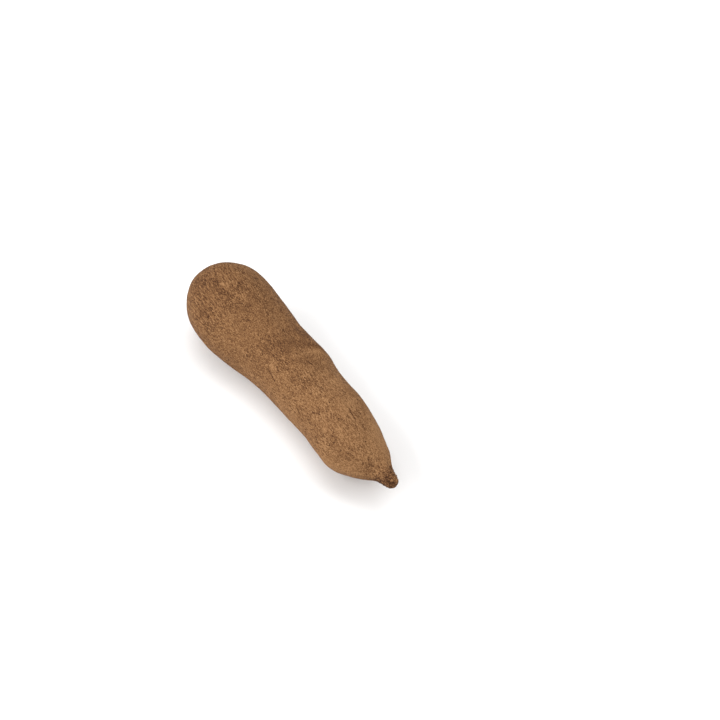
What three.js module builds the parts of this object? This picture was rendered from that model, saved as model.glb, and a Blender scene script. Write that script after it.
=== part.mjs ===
// A yam tuber lying on its side, as dug and cleaned, with its bark-like skin on.
//
// Millimetres, +Z up.  The long axis runs along X: the blunt growing end is at -X and the stem nub at
// +X.  The origin is below the middle of the tuber's box, on the surface that the tuber rests on.
//
// A tuber grows as one piece, so it is one closed skin.  The skin starts as a round ball with its
// poles on the X axis.  Each vertex is then carried out to the tuber's cross-section at its place
// along the length, raised or sunk by the relief of the skin, and stopped at the resting surface.

import * as THREE from "three";
import { mergeVertices } from "three/addons/utils/BufferGeometryUtils.js";
import { ImprovedNoise } from "three/addons/math/ImprovedNoise.js";

// ---------------------------------------------------------------------------------------------
// Driving dimensions, in millimetres
// ---------------------------------------------------------------------------------------------

const LENGTH = 320;

// Cross-sections along the length: [distance from the growing end, half width, sideways offset of
// the middle (to +Y), height of the middle over the resting surface].  The tuber swells near its
// growing end, narrows to a waist, bends a little to +Y and carries its small nub clear of the surface.
const SECTIONS = [
  [0, 34, -2, 39.5],
  [30, 40, 0, 42],
  [60, 42.5, 0, 41],
  [90, 39.5, 2.5, 36.5],
  [120, 35, 7.5, 31.5],
  [150, 34, 10.5, 30.5],
  [180, 31.5, 11.5, 29],
  [210, 31, 12, 31],
  [236, 30.5, 9, 33],
  [256, 29, 6, 34.5],
  [272, 23.5, 6.5, 36.5],
  [286, 17.5, 8.5, 37.5],
  [296, 11, 10, 38.5],
  [306, 7.8, 9.5, 41],
  [LENGTH, 6, 8, 46],
];

// A cross-section is a little lower than it is wide.
const HEIGHT_OVER_WIDTH = 0.95;

// How the two ends close: the length taken by the rounding, and how square-shouldered it is, where
// 2 is an ellipse.
const GROWING_END = { length: 44, squareness: 2.3 };
const NUB_END = { length: 7, squareness: 2.2 };

// The nub turns up: over the last stretch the cross-sections lean back by this angle.
const NUB_TURN = THREE.MathUtils.degToRad(18);
const NUB_TURN_START = LENGTH - 34;
const NUB_TURN_END = LENGTH - 4;

// The stem's scar is a small dish pressed into the nub's round end.  It looks up and to the front:
// its turn is from +X towards +Y, and its rise is over the horizon.
const SCAR = {
  turn: THREE.MathUtils.degToRad(-32),
  rise: THREE.MathUtils.degToRad(45),
  radius: 2.6,
  depth: 1,
};

// The wrinkles that ring the nub: where they start, where they are at their full height, and the half
// width below which they die away towards the tip.
const NUB_RINGS = { start: 288, full: 300, pitch: 7.5, height: 0.35, fadeHalfWidth: 4.8 };

// Relief of the skin.  GIRTH_RADIUS is the radius of the tube of noise that the patterns are read
// from.  "along" and "around" are the size of a pattern's waves, "height" is how far they reach, and
// "layer" is the place in the noise that keeps one pattern apart from the next.
const GIRTH_RADIUS = 38;
const PATTERNS = [
  { along: 62, around: 34, height: 1.8, layer: 3.3 }, // swells, the size of a palm
  { along: 24, around: 17, height: 0.7, layer: 17.7 }, // knobs, the size of a thumb
  { along: 46, around: 6.5, height: 0.75, layer: 41.1 }, // lengthwise ridges
];

// Lumps and hollows that grew in one place: where along the length, the angle around (0 faces +Y and
// 90 is the top), how far it reaches along and around, its slant on the skin, and its height.
const LUMPS = [
  { along: 126, angle: 44, length: 17, width: 13, slant: 35, height: 1.6 }, // swell before the waist
  { along: 146, angle: 76, length: 12, width: 5, slant: -60, height: -0.9 }, // crease at the shoulder
  { along: 152, angle: 40, length: 17, width: 7.5, slant: -70, height: 2.2 }, // shoulder, a fold across
  { along: 169, angle: 60, length: 14, width: 7.5, slant: -60, height: -1.2 }, // hollow behind it
  { along: 122, angle: 118, length: 20, width: 12, slant: -20, height: 0.9 },
  { along: 176, angle: 132, length: 16, width: 9, slant: 10, height: -0.9 },
  { along: 248, angle: 98, length: 20, width: 15, slant: 0, height: 0.8 }, // crest of the toe
  { along: 78, angle: 250, length: 24, width: 20, slant: 25, height: -1.6 }, // underside dents
  { along: 214, angle: 300, length: 22, width: 15, slant: -30, height: 1.1 },
  { along: 186, angle: 355, length: 18, width: 14, slant: 0, height: -1.2 },
  { along: 34, angle: 345, length: 20, width: 18, slant: 0, height: 1.2 },
];

// Number of rings along the tuber and of sides around it.
const RINGS = 66;
const SIDES = 72;

// Above 1, the rings crowd towards the nub, where the shape is smallest.
const RING_CROWDING = 1.18;

const SKIN_COLOUR = 0x8a6342;
const SKIN_ROUGHNESS = 0.92;

// ---------------------------------------------------------------------------------------------
// The smooth body
// ---------------------------------------------------------------------------------------------

// A smooth curve through the cross-sections: gives [half width, sideways offset, height of middle].
const sectionCurve = new THREE.CubicInterpolant(
  SECTIONS.map(([along]) => along),
  SECTIONS.flatMap(([, ...measures]) => measures),
  3,
);

// The share of the full width left at a distance from an end that closes in a rounded cap.
function capShare(distance, { length, squareness }) {
  const open = Math.max(0, 1 - distance / length);
  return Math.pow(1 - Math.pow(open, squareness), 1 / squareness);
}

// The cross-section at a distance along the tuber, with both ends closed.
function sectionAt(along) {
  const [halfWidth, sideways, middle] = sectionCurve.evaluate(along);
  const closing = capShare(along, GROWING_END) * capShare(LENGTH - along, NUB_END);
  const lean = NUB_TURN * THREE.MathUtils.smoothstep(along, NUB_TURN_START, NUB_TURN_END);
  return { halfWidth: halfWidth * closing, sideways, middle, lean };
}

// ---------------------------------------------------------------------------------------------
// Relief of the skin
// ---------------------------------------------------------------------------------------------

const noise = new ImprovedNoise();

// Height of a pattern at a place on the skin.  It wraps round the tuber without a seam, because it
// is read from a tube of noise.
function patternHeight(pattern, along, angle) {
  const across = (GIRTH_RADIUS * Math.cos(angle)) / pattern.around;
  const up = (GIRTH_RADIUS * Math.sin(angle)) / pattern.around;
  const layer = pattern.layer;
  return pattern.height * noise.noise(along / pattern.along + layer, across + layer, up - layer);
}

// The shorter way round from one angle to another, as a distance on the skin.
function distanceAround(angle, other) {
  const turn = angle - other;
  return GIRTH_RADIUS * Math.atan2(Math.sin(turn), Math.cos(turn));
}

// Height of one lump at a place on the skin: a smooth mound on a slanted ellipse.
function lumpHeight(lump, along, angle) {
  const slant = THREE.MathUtils.degToRad(lump.slant);
  const forward = along - lump.along;
  const round = distanceAround(angle, THREE.MathUtils.degToRad(lump.angle));
  const onLength = forward * Math.cos(slant) + round * Math.sin(slant);
  const onWidth = round * Math.cos(slant) - forward * Math.sin(slant);
  return lump.height * Math.exp(-((onLength / lump.length) ** 2) - (onWidth / lump.width) ** 2);
}

// Height of the wrinkles that ring the nub.
function nubRingHeight(along, halfWidth) {
  const onNub = THREE.MathUtils.smoothstep(along, NUB_RINGS.start, NUB_RINGS.full);
  const offScar = Math.min(1, halfWidth / NUB_RINGS.fadeHalfWidth);
  const wave = Math.cos((2 * Math.PI * (along - NUB_RINGS.start)) / NUB_RINGS.pitch);
  return NUB_RINGS.height * onNub * offScar * wave;
}

// How far the skin stands out from the smooth body.  Patterns and lumps shrink with the tuber's
// girth, so that they die away at the two ends.
function relief(along, angle, halfWidth) {
  let height = 0;
  for (const pattern of PATTERNS) {
    height += patternHeight(pattern, along, angle);
  }
  for (const lump of LUMPS) {
    height += lumpHeight(lump, along, angle);
  }
  const girth = Math.min(1, halfWidth / GIRTH_RADIUS);
  return height * girth + nubRingHeight(along, halfWidth);
}

// ---------------------------------------------------------------------------------------------
// The skin
// ---------------------------------------------------------------------------------------------

// Carries a point of the unit ball out to its place on the tuber.
function placeOnTuber(point) {
  const ring = Math.acos(THREE.MathUtils.clamp(-point.x, -1, 1)) / Math.PI;
  const crowded = 1 - Math.pow(1 - ring, RING_CROWDING);
  const along = (LENGTH * (1 - Math.cos(Math.PI * crowded))) / 2;
  const angle = Math.atan2(point.z, point.y);
  const section = sectionAt(along);
  const radius = section.halfWidth + relief(along, angle, section.halfWidth);
  const rise = HEIGHT_OVER_WIDTH * radius * Math.sin(angle);
  point.set(
    along - rise * Math.sin(section.lean),
    section.sideways + radius * Math.cos(angle),
    section.middle + rise * Math.cos(section.lean),
  );
  point.z = Math.max(0, point.z);
  return point;
}

// Presses the scar's dish into the place on the nub that reaches furthest the way the scar looks.
function pressScar(corners) {
  const { turn, rise, radius, depth } = SCAR;
  const look = new THREE.Vector3(Math.cos(turn), Math.sin(turn), Math.tan(rise)).normalize();
  const centre = new THREE.Vector3();
  const point = new THREE.Vector3();
  for (let i = 0; i < corners.count; i += 1) {
    point.fromBufferAttribute(corners, i);
    if (point.dot(look) > centre.dot(look)) {
      centre.copy(point);
    }
  }
  for (let i = 0; i < corners.count; i += 1) {
    point.fromBufferAttribute(corners, i);
    const dish = depth * Math.exp(-((point.distanceTo(centre) / radius) ** 2));
    point.addScaledVector(look, -dish);
    corners.setXYZ(i, point.x, point.y, point.z);
  }
}

// One closed skin with shared vertices, standing on the surface with its box centred on the origin.
function tuberSkin() {
  const ball = new THREE.SphereGeometry(1, SIDES, RINGS);
  ball.rotateZ(Math.PI / 2);
  ball.deleteAttribute("normal");
  ball.deleteAttribute("uv");
  const skin = mergeVertices(ball);
  const corners = skin.getAttribute("position");
  const point = new THREE.Vector3();
  for (let i = 0; i < corners.count; i += 1) {
    placeOnTuber(point.fromBufferAttribute(corners, i));
    corners.setXYZ(i, point.x, point.y, point.z);
  }
  pressScar(corners);
  skin.computeBoundingBox();
  const middle = skin.boundingBox.getCenter(new THREE.Vector3());
  skin.translate(-middle.x, -middle.y, -skin.boundingBox.min.z);
  skin.computeVertexNormals();
  return skin;
}

const skinMaterial = new THREE.MeshStandardMaterial({
  color: SKIN_COLOUR,
  roughness: SKIN_ROUGHNESS,
  metalness: 0,
});

const tuber = new THREE.Mesh(tuberSkin(), skinMaterial);
tuber.name = "tuber";

const yam = new THREE.Group();
yam.name = "yam";
yam.add(tuber);

export default yam;
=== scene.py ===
# %% [markdown]
# # A yam tuber, dug and cleaned
#
# A yam is one swollen underground stem: a blunt growing end, a body with a slight waist, and a toe
# that narrows to the nub where the vine was. Its skin is thin dry bark, wrinkled along its length.
#
# The solid model gives the form at its real size. Here that form gets its skin: an even net of
# small faces is laid over it, the wrinkles, scars and scuffs are raised in the net itself, and a
# matt material colours it. Everything is in metres, and the tuber lies where the solid lies.

# %% Load the solid model
import math
import random

import bmesh
import bpy
import numpy as np
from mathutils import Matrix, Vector, noise
from mathutils.bvhtree import BVHTree


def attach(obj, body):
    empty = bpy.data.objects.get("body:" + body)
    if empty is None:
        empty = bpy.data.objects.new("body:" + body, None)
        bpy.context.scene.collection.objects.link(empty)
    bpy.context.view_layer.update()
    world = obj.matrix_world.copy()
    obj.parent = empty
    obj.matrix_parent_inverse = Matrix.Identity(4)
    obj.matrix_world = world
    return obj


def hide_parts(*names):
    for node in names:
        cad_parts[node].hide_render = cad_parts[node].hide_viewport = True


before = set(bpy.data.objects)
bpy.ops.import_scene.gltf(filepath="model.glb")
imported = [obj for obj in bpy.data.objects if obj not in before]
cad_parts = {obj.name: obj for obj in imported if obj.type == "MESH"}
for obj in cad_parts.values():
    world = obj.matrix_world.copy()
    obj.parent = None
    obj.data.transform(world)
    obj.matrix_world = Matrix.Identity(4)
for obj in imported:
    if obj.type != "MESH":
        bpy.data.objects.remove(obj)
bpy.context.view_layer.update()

MM = 0.001
print("nodes:", sorted(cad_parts))

# %% [markdown]
# ## The camera
#
# The camera stands in front of the nub and to its side, 45 degrees above the table, far enough away
# for an 85 mm lens to flatten the view a little. A camera can be aimed by a Track To constraint, but
# working out its place from two angles keeps the numbers readable: turn, height and distance.
#
# The tuber isn't in the middle of the render. The aim point is moved sideways and up in the view's
# own plane, so that the tuber's middle falls on its pixel without shifting the lens. The pixels are
# those of a square render with a side of IMAGE_SIDE_PX, and MM_PER_PX is the size of one at the tuber.

# %% Place the camera
VIEW_TURN = math.radians(57.95)
VIEW_HEIGHT = math.radians(45)
LENS_MM = 85
SENSOR_MM = 36
IMAGE_SIDE_PX = 720
MM_PER_PX = 0.911
MIDDLE_PX = (292.95, 380.25)
MIDDLE = Vector((0, 0, 38 * MM))


def direction_from(turn, height):
    """The way a camera or a lamp looks from a turn about the table and a height above it."""
    return Vector((
        -math.sin(turn) * math.cos(height),
        math.cos(turn) * math.cos(height),
        -math.sin(height),
    ))


def make_camera():
    look = direction_from(VIEW_TURN, VIEW_HEIGHT)
    right = Vector((math.cos(VIEW_TURN), math.sin(VIEW_TURN), 0))
    up = right.cross(look)
    pixel = MM_PER_PX * MM
    half = IMAGE_SIDE_PX / 2
    aim = MIDDLE + right * (half - MIDDLE_PX[0]) * pixel + up * (MIDDLE_PX[1] - half) * pixel
    distance = pixel * IMAGE_SIDE_PX * LENS_MM / SENSOR_MM

    data = bpy.data.cameras.new("camera")
    data.lens = LENS_MM
    data.sensor_width = SENSOR_MM
    camera = bpy.data.objects.new("camera", data)
    camera.location = aim - look * distance
    camera.rotation_euler = look.to_track_quat("-Z", "Y").to_euler()
    bpy.context.scene.collection.objects.link(camera)
    bpy.context.scene.camera = camera
    return distance


print("camera distance in m:", round(make_camera(), 3))

# %% [markdown]
# ## The form under the skin
#
# The solid is made of flat triangles that share no corners. A copy of it is merged, its triangles
# are paired into four-sided faces, and a Subdivision Surface rounds it. This copy is only a mould:
# it is measured and then thrown away. The solid itself is left as it is.

# %% Make a smooth mould of the solid
MERGE_DISTANCE = 0.005 * MM
PAIRING_ANGLE = math.radians(60)
MOULD_LEVELS = 1


def smooth_mould(solid):
    mesh = bpy.data.meshes.new("mould")
    shape = bmesh.new()
    shape.from_mesh(solid.data)
    bmesh.ops.remove_doubles(shape, verts=shape.verts[:], dist=MERGE_DISTANCE)
    bmesh.ops.join_triangles(
        shape,
        faces=shape.faces[:],
        angle_face_threshold=PAIRING_ANGLE,
        angle_shape_threshold=PAIRING_ANGLE,
    )
    shape.to_mesh(mesh)
    shape.free()
    mould = bpy.data.objects.new("mould", mesh)
    bpy.context.scene.collection.objects.link(mould)
    rounding = mould.modifiers.new("rounding", "SUBSURF")
    rounding.levels = MOULD_LEVELS
    rounding.render_levels = MOULD_LEVELS
    smooth = bmesh.new()
    smooth.from_object(mould, bpy.context.evaluated_depsgraph_get())
    bpy.data.objects.remove(mould)
    bpy.data.meshes.remove(mesh)
    return smooth


mould = smooth_mould(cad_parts["tuber"])
print("mould:", len(mould.verts), "corners,", len(mould.faces), "faces")

# %% [markdown]
# ## The core line
#
# The tuber bends a little, and its nub turns up. A line through the middle of its cross-sections
# says where "along" and "around" are at each place, as the pith does in the real one. It is measured
# on the mould, slice by slice.

# %% Measure the core line
SLICES = 64
mould_points = np.array([corner.co[:] for corner in mould.verts])
END_X = {"growing": mould_points[:, 0].min(), "nub": mould_points[:, 0].max()}


def measure_core():
    """The middle height and sideways place of each slice along X."""
    edges = np.linspace(END_X["growing"], END_X["nub"], SLICES + 1)
    middles = []
    for low, high in zip(edges[:-1], edges[1:]):
        slice_points = mould_points[(mould_points[:, 0] >= low) & (mould_points[:, 0] <= high)]
        middles.append(slice_points[:, 1:].mean(axis=0))
    return (edges[:-1] + edges[1:]) / 2, np.array(middles)


CORE_X, CORE_MIDDLES = measure_core()


def core_at(x):
    """The point of the core line at a distance along X."""
    return Vector((
        x,
        float(np.interp(x, CORE_X, CORE_MIDDLES[:, 0])),
        float(np.interp(x, CORE_X, CORE_MIDDLES[:, 1])),
    ))


print("core line, mm:", [[round(v / MM, 1) for v in core_at(x)] for x in (-0.12, 0, 0.12)])

# %% [markdown]
# ## A fine net over the form
#
# Wrinkles 3 mm apart need faces under 1 mm wide. A sphere made of rings and sides is the right net:
# its two poles go to the tuber's two ends. Each of its corners is thrown from the core line out to
# the mould, straight out along the body and fanning out at the ends. A voxel remesh would give even
# faces too, but its faces don't run along the tuber as wrinkles do. The faces are longer than they
# are wide, because wrinkles are, and the rings crowd a little towards the nub, which is small.
#
# Each corner also keeps its place on the unrolled skin: how far along it lies, and its angle round
# the core. Patterns are laid out in these, so that they run lengthwise and close in at the ends.

# %% Lay the net over the form
SIDES = 320
RINGS = 308
RING_CROWDING = 1.2
FAN_LENGTH = {"growing": 42 * MM, "nub": 6 * MM}
BODY_START = END_X["growing"] + FAN_LENGTH["growing"]
BODY_END = END_X["nub"] - FAN_LENGTH["nub"]
FAN_PATH = {end: length * math.pi / 2 for end, length in FAN_LENGTH.items()}
PATH_LENGTH = FAN_PATH["growing"] + (BODY_END - BODY_START) + FAN_PATH["nub"]
TIP_DEPTH = 1.5 * MM

mould_tree = BVHTree.FromBMesh(mould)
tip_points = mould_points[mould_points[:, 0] > END_X["nub"] - TIP_DEPTH]
NUB_AXIS = (Vector(tip_points.mean(axis=0)) - core_at(BODY_END)).normalized()


def start_and_throw(path, angle):
    """Where a corner of the net starts on the core line, and which way it is thrown."""
    outwards = Vector((0, math.cos(angle), math.sin(angle)))
    if path < FAN_PATH["growing"]:
        open_angle = path / FAN_PATH["growing"] * math.pi / 2
        back = Vector((-1, 0, 0))
        return core_at(BODY_START), back * math.cos(open_angle) + outwards * math.sin(open_angle)
    past_body = path - FAN_PATH["growing"] - (BODY_END - BODY_START)
    if past_body > 0:
        closing = past_body / FAN_PATH["nub"] * math.pi / 2
        return core_at(BODY_END), outwards * math.cos(closing) + NUB_AXIS * math.sin(closing)
    return core_at(BODY_START + path - FAN_PATH["growing"]), outwards


def lay_net():
    """The net on the mould, each corner's place along and round, and how many corners missed."""
    net = bmesh.new()
    bmesh.ops.create_uvsphere(net, u_segments=SIDES, v_segments=RINGS, radius=1)
    paths = np.empty(len(net.verts))
    angles = np.empty(len(net.verts))
    missed = 0
    for i, corner in enumerate(net.verts):
        ring = math.acos(max(-1, min(1, -corner.co.z))) / math.pi
        paths[i] = PATH_LENGTH * (1 - (1 - ring) ** RING_CROWDING)
        angles[i] = math.atan2(corner.co.y, corner.co.x)
        start, throw = start_and_throw(paths[i], angles[i])
        hit = mould_tree.ray_cast(start, throw)[0]
        if hit is None:
            missed += 1
            continue
        corner.co = hit
    net.normal_update()
    return net, paths, angles, missed


net, path, angle, missed = lay_net()
mould.free()
places = np.array([corner.co[:] for corner in net.verts])
normals = np.array([corner.normal[:] for corner in net.verts])
print("net:", len(net.verts), "corners,", len(net.faces), "faces,", missed, "missed")

# %% [markdown]
# ## The unrolled skin
#
# `skin` holds, for every corner, a place on a straight tube of the tuber's mean girth, in mm. Noise
# read there is stretched along the tuber with no seam, whatever the tuber's bend. Every pattern is
# a number for each corner, so that it can shape the skin and colour it as well.

# %% Unroll the skin
GIRTH_RADIUS_MM = 38

path_mm = path / MM
skin = np.stack(
    [path_mm, GIRTH_RADIUS_MM * np.cos(angle), GIRTH_RADIUS_MM * np.sin(angle)], axis=1
)
along_mm = (places[:, 0] - END_X["growing"]) / MM
core_yz = np.stack([np.interp(places[:, 0], CORE_X, CORE_MIDDLES[:, k]) for k in (0, 1)], axis=1)
radius_mm = np.linalg.norm(places[:, 1:] - core_yz, axis=1) / MM
print("net spacing in mm, along:", round(PATH_LENGTH / RINGS / MM, 2))
print("and round:", round(2 * math.pi * GIRTH_RADIUS_MM / SIDES, 2))

# %% [markdown]
# ### Noise on the skin
#
# The places are divided by the length and the width that the waves should have, so the noise is
# stretched along the tuber. Each pattern reads its own layer, a part of the noise far from the
# others, so that no two patterns match by chance. With several octaves, finer and fainter waves are
# added to the broad ones. The first pattern, made here, is broad patches over the whole skin.

# %% Read a noise on the skin
LAYER_STEP = (13.7, 7.1, -5.3)
FRACTAL_FALLOFF = 0.9
FRACTAL_STEP = 2.1


def noise_on(points, layer, octaves=1):
    """Noise at each point, about -1 to 1. The layer picks a part of the noise used by no other."""
    shift = Vector([layer * step for step in LAYER_STEP])
    if octaves == 1:
        return np.array([noise.noise(Vector(point) + shift) for point in points])
    shape = (FRACTAL_FALLOFF, FRACTAL_STEP, octaves)
    return np.array([noise.fractal(Vector(point) + shift, *shape) for point in points])


def skin_noise(along, around, layer, octaves=1, warp=None):
    """Noise whose waves are `along` mm long and `around` mm wide on the skin."""
    points = skin / np.array([along, around, around])
    if warp is not None:
        points = points + warp
    return noise_on(points, layer, octaves)


patchy = skin_noise(34, 20, layer=1, octaves=3)
print("patchy from", round(float(patchy.min()), 2), "to", round(float(patchy.max()), 2))

# %% [markdown]
# ### Marks on the skin
#
# A mark is placed by how far along the tuber it lies and by its angle round the core: 0 faces +Y, 90
# is on top and 180 faces -Y. A mark could be cut into the mesh, but its edge would then follow the
# faces. Here each corner works out how far it is from the mark, forward and sideways, and a smooth
# curve of that distance gives the mark soft edges.

# %% Helpers for marks
def smoothstep(low, high, value):
    """0 below the low value, 1 above the high one, and a smooth rise between them."""
    share = np.clip((value - low) / (high - low), 0, 1)
    return share * share * (3 - 2 * share)


def mound(value, middle, half_width):
    """1 where a value is at the middle, dying away smoothly to both sides."""
    return np.exp(-(((value - middle) / half_width) ** 2))


def distance_round(degrees):
    """How far each corner is round the girth from an angle, in mm."""
    turn = angle - math.radians(degrees)
    return np.arctan2(np.sin(turn), np.cos(turn)) * np.minimum(radius_mm, GIRTH_RADIUS_MM)


def on_skin(along, degrees, slant=0):
    """Each corner's place from a point of the skin, in mm: how far forward and how far sideways."""
    lean = math.radians(slant)
    forward = along_mm - along
    round_it = distance_round(degrees)
    return (
        forward * math.cos(lean) + round_it * math.sin(lean),
        round_it * math.cos(lean) - forward * math.sin(lean),
    )


def spot(along, degrees, length, width, slant=0):
    """A soft spot on the skin, 1 in its middle, of a length and width in mm, turned by its slant."""
    forward, sideways = on_skin(along, degrees, slant)
    return np.exp(-((forward / length) ** 2) - (sideways / width) ** 2)


print("corners under a 5 mm spot on top:", int((spot(160, 90, 5, 5) > 0.37).sum()))

# %% [markdown]
# ## Where the skin is what
#
# The skin isn't the same all over. The growing end is wrinkled lengthwise, with a calmer stretch
# behind it. Where the bark is wrinkled less, it breaks into small corky plates instead. The nub is
# rough and dark. These areas are laid out first, from broad noise, the distance along the tuber and
# two listed calm places. The relief and the colours both use them.

# %% Lay out the areas of the skin
# each stretch in mm along the tuber, from where it starts to change to where it has changed
GROWING_TO_BODY_MM = (120, 180)
WRINKLED_TO_SMOOTH_MM = (60, 130)
BODY_TO_NUB_MM = (293, 305)
# along, angle round, length, width
CALM_PLACES = [
    (100, 120, 28, 50),
    (143, 70, 22, 45),
]

on_nub = smoothstep(*BODY_TO_NUB_MM, along_mm)
growing = 1 - smoothstep(*GROWING_TO_BODY_MM, along_mm)
calm = np.maximum.reduce([spot(*place) for place in CALM_PLACES])
wrinkled = 0.4 + 0.45 * (1 - smoothstep(*WRINKLED_TO_SMOOTH_MM, along_mm)) + 0.3 * patchy
wrinkled = np.clip(wrinkled - 0.35 * calm, 0.1, 1) * (1 - on_nub)
corky = np.clip(0.7 + 0.7 * skin_noise(17, 10, layer=8, octaves=2), 0.35, 1)
corky *= (1 - 0.7 * wrinkled) * (1 - 0.5 * calm)
print("share of the skin that is wrinkled:", round(float((wrinkled > 0.6).mean()), 2))
print("and that is corky:", round(float((corky > 0.6).mean()), 2))

# %% [markdown]
# ## Ridges, furrows and creases
#
# The drying bark draws together in fine ridges along the tuber, with a few broad furrows between
# them. The ridges are noise stretched along the skin. A furrow follows the line where such a noise
# passes through nought: those lines are long, never cross and never end abruptly. Short creases
# across the ridges are made the same way, from noise stretched around the tuber. A further noise
# shifts them all a little, so that none runs dead straight.

# %% Raise the wrinkles
FURROW_DEPTH_MM = 0.2
RIDGE_HEIGHT_MM = 0.14
CREASE_DEPTH_MM = 0.06
GRAIN_HEIGHT_MM = 0.05
SWAY = 0.3


def lines_where_nought(values, width):
    """1 on the lines where a noise passes through nought, fading to 0 at a width."""
    return 1 - smoothstep(0, width, np.abs(values))


sways = [SWAY * skin_noise(12, 9, layer) for layer in (2, 3)]
wander = np.stack([np.zeros(len(skin)), *sways], axis=1)
furrows = lines_where_nought(skin_noise(24, 5, layer=4, warp=wander), 0.3)
furrows *= 1 - 0.8 * growing
ridges = skin_noise(20, 1.15, layer=5, warp=wander) * wrinkled
creases = lines_where_nought(skin_noise(3, 6, layer=6, warp=wander), 0.22) * wrinkled

relief = np.zeros(len(skin))
relief -= FURROW_DEPTH_MM * furrows
relief += RIDGE_HEIGHT_MM * ridges
relief -= CREASE_DEPTH_MM * creases * wrinkled
relief += GRAIN_HEIGHT_MM * skin_noise(4, 1.3, layer=7)
print("relief so far, in mm:", round(float(relief.min()), 2), "to", round(float(relief.max()), 2))

# %% [markdown]
# ## Slits
#
# Here and there the bark has torn into a thin dark slit with a slightly raised lip on each side. A
# slit is thinner than the net's faces, so the net only sinks a shallow groove, and the colour draws
# the slit itself. For that each corner keeps its signed distance from the slit's line: a distance
# runs evenly from face to face, so the line drawn where it is nought stays thin and crisp.
#
# The first ones are listed. The rest are drawn by a seeded draw, so that every side is
# finished and each run gives the same tuber.

# %% Tear the slits
# along, angle round, half length, slant, how far it is open (0 to 1)
SLITS = [
    (153, 147, 7.5, 15, 1),
    (157, 133, 4, 20, 0.8),
    (167, 82, 5, -20, 0.8),
    (219, 153, 3, 20, 0.7),
    (236, 161, 3.5, 16, 0.8),
    (243, 79, 8, 0, 1),
    (247, 89, 4, 3, 0.5),
    (260, 72, 4, 0, 0.7),
]
DRAWN_SLITS = 24
SLIT_REACH_MM = 3
GROOVE_DEPTH_MM = 0.35
GROOVE_HALF_WIDTH_MM = 0.9
LIP_HEIGHT_MM = 0.1
LIP_HALF_WIDTH_MM = 0.8
LIP_PLACE_MM = 1.9

draw = random.Random(23)
for _ in range(DRAWN_SLITS):
    place = (draw.uniform(25, 280), draw.uniform(0, 360))
    SLITS.append((*place, draw.uniform(2, 5), draw.gauss(0, 14), draw.uniform(0.3, 0.7)))

slit_share = np.zeros(len(skin))
slit_side = np.full(len(skin), float(SLIT_REACH_MM))
sway_mm = 2 * wander[:, 1]
for along, degrees, half_length, slant, opening in SLITS:
    forward, sideways = on_skin(along, degrees, slant)
    sideways = sideways + sway_mm
    share = opening * np.exp(-((forward / half_length) ** 4) - (sideways / SLIT_REACH_MM) ** 4)
    nearest = share > slit_share
    slit_share[nearest] = share[nearest]
    slit_side[nearest] = sideways[nearest]
groove = mound(slit_side, 0, GROOVE_HALF_WIDTH_MM)
lips = mound(np.abs(slit_side), LIP_PLACE_MM, LIP_HALF_WIDTH_MM)
relief += slit_share * (LIP_HEIGHT_MM * lips - GROOVE_DEPTH_MM * groove)
print("slits:", len(SLITS))

# %% [markdown]
# ## Root scars
#
# The thin roots that fed the tuber break off and leave small dark pits with a low rim. Some are
# listed and the rest are drawn. As with the slits, the colour needs a crisp edge, so each
# corner keeps how far it is from the nearest scar's middle, counted in that scar's own radius. The
# rim's place is counted in the same way, and so is FAR_OFF, which stands for no scar nearby.

# %% Press the root scars
# along, angle round, radius
ROOT_SCARS = [
    (66, 137, 1),
    (53, 144, 0.9),
    (68, 149, 1.3),
    (69, 157, 1),
    (82, 102, 1),
    (87, 107, 1),
    (242, 106, 0.9),
    (258, 137, 1),
    (267, 142, 0.8),
    (271, 126, 0.8),
    (274, 88, 0.8),
    (288, 119, 1),
    (293, 130, 1.2),
]
DRAWN_ROOT_SCARS = 28
PIT_DEPTH_MM = 0.4
RIM_HEIGHT_MM = 0.12
RIM_PLACE = 1.9
FAR_OFF = 9.0

for _ in range(DRAWN_ROOT_SCARS):
    ROOT_SCARS.append((draw.uniform(14, 285), draw.uniform(0, 360), draw.uniform(0.5, 0.9)))

root_scar = np.full(len(skin), FAR_OFF)
for along, degrees, radius in ROOT_SCARS:
    forward, sideways = on_skin(along, degrees)
    root_scar = np.minimum(root_scar, np.hypot(forward, sideways) / radius)
relief -= PIT_DEPTH_MM * mound(root_scar, 0, 1)
relief += RIM_HEIGHT_MM * mound(root_scar, RIM_PLACE, 1)
print("root scars:", len(ROOT_SCARS))

# %% [markdown]
# ## How pale the bark is
#
# One number for each corner, the tone, says how pale or dark the bark is: 0 is the usual brown, 1 is
# pale and -1 is dark. Later cells also paint light and shade into it. One noise would make the same
# blotches all over. The growing end is darker, though, and has faint bands across it, so there
# another noise takes over.

# %% Blotch and band the bark
BODY_TONE = 0.28
GROWING_TONE = -0.2

broad = skin_noise(60, 34, layer=11)
blotches = skin_noise(13, 9, layer=12, octaves=3) * (1 - growing)
bands = skin_noise(8, 22, layer=13, octaves=2) * growing
tone = 0.1 * broad + 0.2 * blotches + 0.1 * bands
tone = (tone + BODY_TONE + (GROWING_TONE - BODY_TONE) * growing) * (1 - on_nub)
print("tone of the growing end:", round(float(tone[growing > 0.9].mean()), 2))
print("tone of the rest:", round(float(tone[growing < 0.1].mean()), 2))
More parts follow.
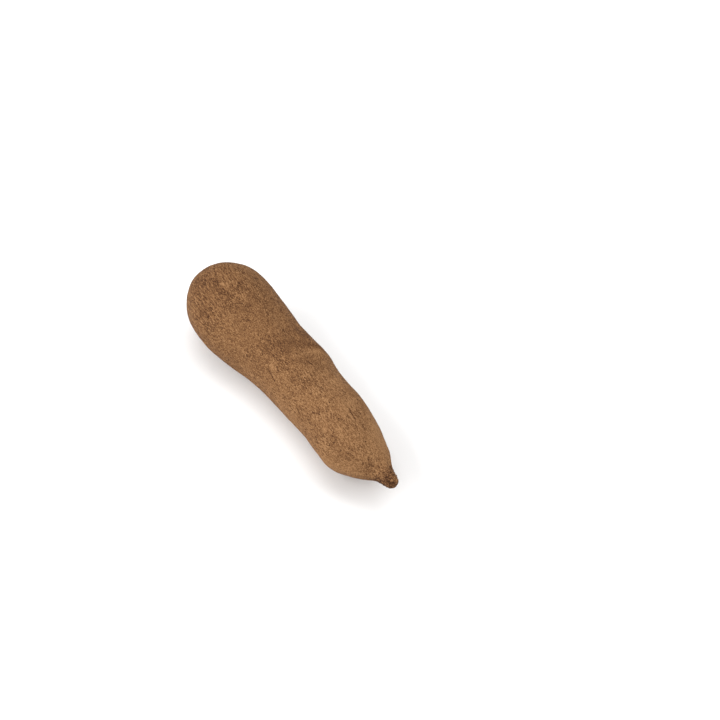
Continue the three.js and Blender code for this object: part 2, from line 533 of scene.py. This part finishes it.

# %% [markdown]
# ## Patches and painted light
#
# Paler and darker patches are added to the tone, each a soft slanted spot. They follow no rule, so
# they are listed one by one. Some are the bark's own marks, scuffs and dark spots, and some are
# painted
# light and shade: pale patches on the toe, where it turns away from the lamps, a highlight and a dark
# trough along the shoulder's fold, and a dark patch on the underside below the nub. Where the tone is
# pale, the bark is also made smoother and less corky.

# %% Add the patches and the painted light
# along, angle round, length, width, slant, tone
PATCHES_AND_PAINTED_LIGHT = [
    # growing end, pale
    (30, 165, 8, 10, 0, 0.4),
    (42, 60, 10, 12, 0, 0.55),
    (57, 101, 9, 4, 8, 0.6),
    (76, 96, 6, 4, 25, 0.6),
    (88, 132, 12, 5, 10, 0.5),
    (97, 154, 18, 6, -26, 0.45),
    (105, 118, 14, 12, 0, 0.2),
    (113, 63, 10, 8, 0, 0.3),
    # growing end, dark
    (10, 90, 24, 60, 0, -0.5),
    (34, 122, 8, 14, 0, -0.35),
    (60, 112, 24, 6, -9, -0.5),
    (63, 143, 13, 9, -10, -0.6),
    (66, 90, 5, 7, 0, -0.8),
    (79, 126, 5, 5, 0, -0.4),
    (82, 82, 8, 5, 0, -0.6),
    (82, 107, 5, 6, 0, -0.5),
    # shoulder and waist, pale
    (126, 178, 18, 12, 0, 0.45),
    (149, 136, 6, 3, 25, 1),
    # a painted highlight along the shoulder's fold
    (156, 56, 11, 4, -65, 1),
    (187, 90, 5, 4, 0, 0.4),
    (190, 184, 40, 7, 4, 0.5),
    (196, 66, 13, 7, 0, 0.5),
    # shoulder and waist, dark
    (130, 52, 12, 9, -30, -0.8),
    (134, 104, 8, 18, 25, -0.6),
    (146, 106, 4, 8, 15, -0.6),
    # painted shade in the trough above the shoulder's fold
    (147, 62, 18, 4.5, -65, -0.85),
    (149, 43, 5, 6, 0, -0.4),
    (156, 117, 8, 5, 10, -0.6),
    (167, 80, 12, 3.5, -60, -0.7),
    (172, 126, 8, 4, 20, -0.5),
    (186, 113, 9, 6, 10, -0.8),
    (200, 154, 16, 4, 10, -0.4),
    # toe, pale; from 255 mm on, partly painted light where the toe turns away from the lamps
    (232, 72, 8, 6, 0, 0.8),
    (238, 90, 12, 5, 0, 0.8),
    (252, 112, 8, 6, 0, 0.3),
    (252, 161, 17, 7, 12, 0.3),
    (260, 190, 16, 8, 0, 1),
    (262, 118, 10, 5, 0, 0.3),
    (266, 42, 22, 8, 0, 1.1),
    (280, 178, 9, 10, 0, 0.6),
    (282, 84, 17, 18, 0, 0.6),
    (295, 50, 5, 8, 0, 0.4),
    # toe, dark
    (219, 153, 5, 3.5, 20, -0.5),
    (239, 156, 6, 4, 20, -0.6),
    (240, 108, 9, 4, 10, -0.4),
    (258, 136, 7, 4, 30, -0.6),
    (275, 138, 7, 8, 0, -0.5),
    (279, 110, 5, 4, 0, -0.4),
    (293, 140, 5, 7, 0, -0.7),
    # painted shade on the underside, below the nub
    (304, 212, 13, 4, 0, -1.8),
]
RUBBED_AND_LIT_FROM_TONE = 0.4

for along, degrees, length, width, slant, patch_tone in PATCHES_AND_PAINTED_LIGHT:
    tone += patch_tone * spot(along, degrees, length, width, slant)
rubbed_and_lit = np.clip(tone - RUBBED_AND_LIT_FROM_TONE, 0, 1)
relief *= 1 - 0.5 * rubbed_and_lit
corky *= 1 - 0.5 * rubbed_and_lit
print("tone_patches:", len(PATCHES_AND_PAINTED_LIGHT))
print("tone from", round(float(tone.min()), 2), "to", round(float(tone.max()), 2))

# %% [markdown]
# ## The stem nub
#
# The nub is what is left of the stem. In its round end, which looks up and to the front, lies the
# small scar of the vine. The scar could be put at fixed coordinates, but then it would float as soon
# as the form changed. Its middle is the point of the nub that reaches furthest the way the scar
# looks, so it sits on the nub whatever the nub's shape.

# %% Find the scar
SCAR_TURN = math.radians(-32)
SCAR_RISE = math.radians(45)

scar_look = np.array([
    math.cos(SCAR_TURN) * math.cos(SCAR_RISE),
    math.sin(SCAR_TURN) * math.cos(SCAR_RISE),
    math.sin(SCAR_RISE),
])
scar_middle = places[np.argmax(places @ scar_look)]
off_scar = (places - scar_middle) / MM
from_scar = np.linalg.norm(off_scar, axis=1)
print("corners on the nub:", int((on_nub > 0.5).sum()))
print("scar middle in mm:", [round(float(v) / MM, 1) for v in scar_middle])

# %% [markdown]
# ### The nub's rough bark
#
# The nub's bark is rough and lies in folds round it, so here folds and lumps take the place of the
# body's wrinkles. The scar itself is a small mound of pith in a sunken ring, with a low rim of
# bark round that. Each of the three is a mound or a hollow at its own distance from the middle.

# %% Fold the nub's bark
FOLD_PITCH_MM = 3.6
FOLD_HEIGHT_MM = 0.25
FOLD_WANDER_MM = 3
END_TO_FOLDS_MM = (4, 7)
LUMP_SIZE_MM = 2.4
LUMP_HEIGHT_MM = 0.28
# distance from the scar's middle, half width, height
SCAR_FORM_MM = [
    (0, 0.9, 0.35),
    (2.6, 1, -0.4),
    (4.8, 1, 0.25),
]

uneven = noise_on(places / MM / FOLD_WANDER_MM, layer=9)
folds = np.sin(along_mm * 2 * math.pi / FOLD_PITCH_MM + 2.4 * uneven)
lumps = noise_on(places / MM / LUMP_SIZE_MM, layer=10, octaves=2)
off_end = smoothstep(*END_TO_FOLDS_MM, from_scar)
relief = relief * (1 - on_nub)
relief += on_nub * (FOLD_HEIGHT_MM * folds * off_end + LUMP_HEIGHT_MM * lumps)
for distance, half_width, height in SCAR_FORM_MM:
    relief += height * mound(from_scar, distance, half_width)
print("relief in mm:", round(float(relief.min()), 2), "to", round(float(relief.max()), 2))

# %% [markdown]
# ### The nub's marks and painted shade
#
# The nub is dark, and round its scar are darker and paler patches, listed by how far each lies to
# the right of the scar and above it, looking straight at the scar. The dark ones left of the scar and
# below it are partly painted shade on the nub's low side, and the pale ones to its right are partly
# painted light. They fade out where the bark turns away, so that none shows on the far side.

# %% Mark and shade the nub
BODY_TO_DARK_MM = (296, 306)
# to the right of the scar's middle, above it, half width, half height (all in mm), tone
NUB_MARKS_AND_SHADE = [
    (-3.6, -0.5, 2.6, 2.8, -1.2),
    (-4, 3.8, 3.4, 1.8, -0.6),
    (-0.4, -4, 2.2, 1.8, -1.2),
    (0.3, 11, 1.2, 4, -0.7),
    (-1.2, 4.6, 1, 0.9, 1.2),
    (4.2, 0.5, 1.3, 5, 1.1),
    (2.2, -5.6, 2.4, 1.3, 1.1),
    (-6.4, 8, 2.6, 1.1, 1.1),
    (-13.5, 3, 2.6, 1, 0.6),
]

tone -= smoothstep(*BODY_TO_DARK_MM, along_mm) * (0.9 + 0.5 * lumps - 0.3 * folds)
scar_right = np.array([-math.sin(SCAR_TURN), math.cos(SCAR_TURN), 0])
scar_up = np.cross(scar_look, scar_right)
facing = smoothstep(-0.1, 0.4, normals @ scar_look)
for right, up, half_width, half_height, mark_and_shade_tone in NUB_MARKS_AND_SHADE:
    across = mound(off_scar @ scar_right, right, half_width)
    upright = mound(off_scar @ scar_up, up, half_height)
    tone += mark_and_shade_tone * facing * across * upright
print("nub marks:", len(NUB_MARKS_AND_SHADE))

# %% [markdown]
# ## Make the piece
#
# The relief moves each corner along its normal. It fades out on the small flat where the tuber rests,
# so that the underside stays flat, and it dies away at the growing end, where the wrinkles close in.
# A Displace modifier reads its heights from a texture, but here each corner already has its own.

# %% Build the skin mesh
REST_CLEARANCE_MM = 1.5
POLE_FADE_MM = 12


def make_skin():
    clear_of_table = smoothstep(0, REST_CLEARANCE_MM, places[:, 2] / MM)
    height = relief * MM * clear_of_table * smoothstep(0, POLE_FADE_MM, path_mm)
    moved = places + normals * height[:, None]
    moved[:, 2] = np.maximum(moved[:, 2], 0)
    for corner, place in zip(net.verts, moved):
        corner.co = place
    mesh = bpy.data.meshes.new("bark_skin")
    net.to_mesh(mesh)
    net.free()
    mesh.shade_smooth()
    piece = bpy.data.objects.new("bark_skin", mesh)
    bpy.context.scene.collection.objects.link(piece)
    return piece


bark_skin = make_skin()
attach(bark_skin, "root")
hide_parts("tuber")
print("skin:", 2 * len(bark_skin.data.polygons), "triangles at most")

# %% [markdown]
# ### Keep the patterns on the mesh
#
# The material colours the same wrinkles and marks that the mesh raises. It could make them a second
# time from its own noise, but the two would never match. So the patterns are kept on the mesh, as
# named attributes with one number for each corner, which the material reads by their names.

# %% Keep the patterns on the mesh
PATTERNS = {
    "tone": tone,
    "wrinkled": wrinkled,
    "corky": corky,
    # the material darkens the bark along furrow and pales it along ridges: painted shade in the
    # grooves and a painted highlight on the crests
    "furrow": (0.5 * furrows + 0.1 * creases) * (1 - on_nub),
    "ridges": ridges,
    "slit_share": slit_share,
    "slit_side": slit_side,
    "root_scar": root_scar,
    "from_scar": from_scar,
}

for pattern_name, values in PATTERNS.items():
    attribute = bark_skin.data.attributes.new(pattern_name, "FLOAT", "POINT")
    attribute.data.foreach_set("value", values.astype(np.float32))
    print(pattern_name, "from", round(float(values.min()), 2), "to", round(float(values.max()), 2))

# %% [markdown]
# ## The bark's material
#
# Dry bark is matt, so its look is nearly all colour and fine relief. Bark could be painted colour
# over colour, each with a mask of its own. Here every pattern instead makes the bark a little darker
# or paler, all are added up, and one ramp turns the sum into a colour, from the darkest brown to the
# palest tan. So all the patterns share the same family of browns. Some of them are painted light and
# shade: the crests of the ridges are paler, the furrows and creases darker.

# %% Choose the browns
def linear(red, green, blue):
    """A colour given as 0 to 255 on screen, as the linear colour that the shader wants."""
    def one(value):
        share = value / 255
        return share / 12.92 if share <= 0.04045 else ((share + 0.055) / 1.055) ** 2.4
    return (one(red), one(green), one(blue), 1)


# from the darkest brown to the palest tan
BARK_BROWNS = [
    linear(60, 37, 22),
    linear(86, 57, 36),
    linear(110, 77, 49),
    linear(132, 95, 62),
    linear(152, 115, 79),
]
print("the middle brown in linear red, green, blue:", [round(v, 3) for v in BARK_BROWNS[2][:3]])

# %% [markdown]
# ### Short names for nodes
#
# A material is a tree of nodes. Written out in full, each node takes several lines and the recipe is
# lost among them. This class holds the tree of one material and gives each kind of node a short name,
# so that the recipe in the next cells reads like one. All its sizes are in mm on the tuber.

# %% Helpers for the nodes
class Layers:
    """A short way to write the nodes of one material."""

    def __init__(self, material):
        material.use_nodes = True
        self.nodes = material.node_tree.nodes
        self.links = material.node_tree.links
        self.shader = self.nodes["Principled BSDF"]

    def attribute(self, name):
        """A pattern that is kept on the mesh."""
        node = self.nodes.new("ShaderNodeAttribute")
        node.attribute_name = name
        return node.outputs["Fac"]

    def places(self, size):
        """Places on the tuber, counted in steps of a size: (along the tuber, across it) in mm."""
        place = self.nodes.new("ShaderNodeTexCoord")
        mapping = self.nodes.new("ShaderNodeMapping")
        along, across = size[0] * MM, size[1] * MM
        mapping.inputs["Scale"].default_value = (1 / along, 1 / across, 1 / across)
        self.links.new(place.outputs["Object"], mapping.inputs["Vector"])
        return mapping.outputs["Vector"]

    def noise(self, size, detail=2):
        """Noise from -1 to 1, with waves of a size: (along, across) in mm."""
        node = self.nodes.new("ShaderNodeTexNoise")
        node.inputs["Scale"].default_value = 1
        node.inputs["Detail"].default_value = detail
        self.links.new(self.places(size), node.inputs["Vector"])
        return self.ramp(node.outputs["Fac"], 0.3, 0.7, -1, 1)

    def plates(self, size):
        """Small plates of a size: a number from -0.5 to 0.5 for each, and how far off its middle."""
        node = self.nodes.new("ShaderNodeTexVoronoi")
        node.inputs["Scale"].default_value = 1
        self.links.new(self.places(size), node.inputs["Vector"])
        split = self.nodes.new("ShaderNodeSeparateColor")
        self.links.new(node.outputs["Color"], split.inputs["Color"])
        return self.maths("SUBTRACT", split.outputs["Red"], 0.5), node.outputs["Distance"]

    def ramp(self, value, low, high, to_low=0, to_high=1):
        """Stretches the part of a value from low to high over a new range, with soft ends."""
        node = self.nodes.new("ShaderNodeMapRange")
        node.interpolation_type = "SMOOTHSTEP"
        node.inputs["From Min"].default_value = low
        node.inputs["From Max"].default_value = high
        node.inputs["To Min"].default_value = to_low
        node.inputs["To Max"].default_value = to_high
        self.links.new(value, node.inputs["Value"])
        return node.outputs["Result"]

    def maths(self, operation, *values):
        """The result of one Math node, from patterns and plain numbers."""
        node = self.nodes.new("ShaderNodeMath")
        node.operation = operation
        for value, socket in zip(values, node.inputs):
            if isinstance(value, (int, float)):
                socket.default_value = value
            else:
                self.links.new(value, socket)
        return node.outputs["Value"]

    def times(self, pattern, share):
        """A pattern, only as strong as a share says at each place."""
        return self.maths("MULTIPLY", pattern, share)

    def add_up(self, total, *parts):
        """A total with patterns added to it. Each part is a pattern and its amount."""
        for pattern, amount in parts:
            total = self.maths("MULTIPLY_ADD", pattern, amount, total)
        return total

    def band(self, value, middle, half_width):
        """1 where a value is at the middle, fading to 0 at a half width to either side."""
        away = self.maths("ABSOLUTE", self.maths("SUBTRACT", value, middle))
        return self.ramp(away, 0, half_width, 1, 0)

    def colours(self, value, stops):
        """A colour for each value from 0 to 1, through evenly spaced stops."""
        node = self.nodes.new("ShaderNodeValToRGB")
        steps = node.color_ramp.elements
        while len(steps) < len(stops):
            steps.new(0.5)
        for i, colour in enumerate(stops):
            steps[i].position = i / (len(stops) - 1)
            steps[i].color = colour
        self.links.new(value, node.inputs["Fac"])
        return node.outputs["Color"]


bark = bpy.data.materials.new("bark_skin")
layers = Layers(bark)
print("nodes to start with:", [node.name for node in layers.nodes])

# %% [markdown]
# ### Mixing the bark
#
# The finest patterns are made in the material, because they are finer than the net. Where the bark
# is corky, they are plates about 1 by 2 mm, each a little paler or darker than the next. Where it is
# wrinkled, they are fibres about 5 mm long with a softer hatch between them. Grains lie over both.

# %% Mix the bark
MIDDLE_SHADE = 0.58

where_wrinkled = layers.attribute("wrinkled")
grains = layers.noise((0.8, 0.7))
plates, plate_dome = layers.plates((1.8, 0.8))
plates = layers.times(plates, layers.attribute("corky"))
fibres, fibre_dome = layers.plates((5, 0.75))
fibres = layers.times(fibres, where_wrinkled)
hatch = layers.times(layers.noise((6, 1), detail=1), where_wrinkled)

shade = layers.add_up(
    MIDDLE_SHADE,
    (layers.attribute("tone"), 0.24),
    (fibres, 0.52),
    (hatch, 0.2),
    (plates, 1.1),
    (grains, 0.34),
    # painted light: the crests of the ridges paler, the furrows and creases darker
    (layers.attribute("ridges"), 0.1),
    (layers.attribute("furrow"), -0.1),
)
print("nodes so far:", len(layers.nodes))

# %% [markdown]
# ### Slits and scars
#
# The mesh keeps distances for these marks: from a slit's line, from a root scar's middle and from
# the middle of the stem's scar. A band or a ramp of a distance gives a thin line, a pit or a ring.
# The grains are added to the distances round the scars first, so that their edges are ragged.

# %% Draw the slits and scars
SLIT_HALF_WIDTH_MM = 0.85
RAGGEDNESS = 0.5

slit_line = layers.band(layers.attribute("slit_side"), 0, SLIT_HALF_WIDTH_MM)
slit_line = layers.times(slit_line, layers.attribute("slit_share"))
off_root_scar = layers.add_up(layers.attribute("root_scar"), (grains, RAGGEDNESS))
root_pit = layers.ramp(off_root_scar, 0.5, 1.2, 1, 0)
off_stem_scar = layers.add_up(layers.attribute("from_scar"), (grains, RAGGEDNESS))
scar_ring = layers.band(off_stem_scar, 2.4, 1.1)
scar_pith = layers.ramp(off_stem_scar, 0.4, 1.2, 1, 0)

shade = layers.add_up(
    shade,
    (slit_line, -0.7),
    (root_pit, -0.48),
    (scar_ring, -0.2),
    (scar_pith, 0.7),
)
print("nodes so far:", len(layers.nodes))

# %% [markdown]
# ### Colour and grain
#
# The sum now goes through the ramp of browns. The gloss is low, because dry cork hardly shines. The
# same fine patterns also drive a Bump node, so that the light catches what the colour shows. It only
# changes how the surface takes the light, not the mesh, which is enough for a grain this fine.

# %% Colour the bark and raise its grain
BARK_ROUGHNESS = (0.84, 0.96)
BARK_SPECULAR = 0.1
BUMP_STRENGTH = 0.8
BUMP_DEPTH_MM = 0.2

colour = layers.colours(shade, BARK_BROWNS)
roughness = layers.ramp(grains, -1, 1, *BARK_ROUGHNESS)
bump_height = layers.add_up(
    0.5,
    (plate_dome, -0.5),
    (grains, 0.25),
    (fibre_dome, -0.35),
    (hatch, 0.3),
)
bump = layers.nodes.new("ShaderNodeBump")
bump.inputs["Strength"].default_value = BUMP_STRENGTH
bump.inputs["Distance"].default_value = BUMP_DEPTH_MM * MM
layers.links.new(bump_height, bump.inputs["Height"])

layers.links.new(colour, layers.shader.inputs["Base Color"])
layers.links.new(roughness, layers.shader.inputs["Roughness"])
layers.shader.inputs["Specular IOR Level"].default_value = BARK_SPECULAR
layers.links.new(bump.outputs["Normal"], layers.shader.inputs["Normal"])
bark_skin.data.materials.append(bark)
print("bark nodes:", len(layers.nodes))

# %% [markdown]
# ## The table
#
# A plain pale table is enough to carry the shadow. It is a single face, far wider than the tuber, so
# that the main view sees no edge of it.

# %% Make the table
TABLE_SIDE = 6
TABLE_WHITE = (0.9, 0.9, 0.9, 1)
TABLE_ROUGHNESS = 0.9


def make_table():
    mesh = bpy.data.meshes.new("table")
    top = bmesh.new()
    bmesh.ops.create_grid(top, x_segments=1, y_segments=1, size=TABLE_SIDE / 2)
    top.to_mesh(mesh)
    top.free()
    table = bpy.data.objects.new("table", mesh)
    bpy.context.scene.collection.objects.link(table)
    material = bpy.data.materials.new("table_white")
    material.use_nodes = True
    shader = material.node_tree.nodes["Principled BSDF"]
    shader.inputs["Base Color"].default_value = TABLE_WHITE
    shader.inputs["Roughness"].default_value = TABLE_ROUGHNESS
    mesh.materials.append(material)


make_table()
print("table side in m:", TABLE_SIDE)

# %% [markdown]
# ## Light
#
# Large lamps give soft shadows, as a window does. A broad lamp from the left does most of the work, a
# weaker one on the right and one high up behind the tuber fill in, and a bright even surround keeps
# the shadow pale. Small spotlights would show the relief more sharply, but make the bark look hard.

# %% Light the tuber
# name, turn from the camera and height in degrees, distance and side in m, power in W
LAMPS = [
    ("left_lamp", -72, 34, 1.6, 1.4, 23),
    ("right_lamp", 80, 50, 1.8, 1.2, 7),
    ("top_lamp", 180, 78, 1.7, 1.5, 14),
]
SURROUND_STRENGTH = 0.62


def make_lamp(name, turn, height, distance, side, power):
    look = direction_from(VIEW_TURN + math.radians(turn), math.radians(height))
    data = bpy.data.lights.new(name, "AREA")
    data.shape = "SQUARE"
    data.size = side
    data.energy = power
    lamp = bpy.data.objects.new(name, data)
    lamp.location = MIDDLE - look * distance
    lamp.rotation_euler = look.to_track_quat("-Z", "Y").to_euler()
    bpy.context.scene.collection.objects.link(lamp)


def make_surround():
    world = bpy.data.worlds.new("surround")
    world.use_nodes = True
    background = world.node_tree.nodes["Background"]
    background.inputs["Color"].default_value = (1, 1, 1, 1)
    background.inputs["Strength"].default_value = SURROUND_STRENGTH
    bpy.context.scene.world = world


for lamp_values in LAMPS:
    make_lamp(*lamp_values)
make_surround()
bpy.context.scene.view_settings.view_transform = "Standard"
print("lamps:", [lamp_values[0] for lamp_values in LAMPS])
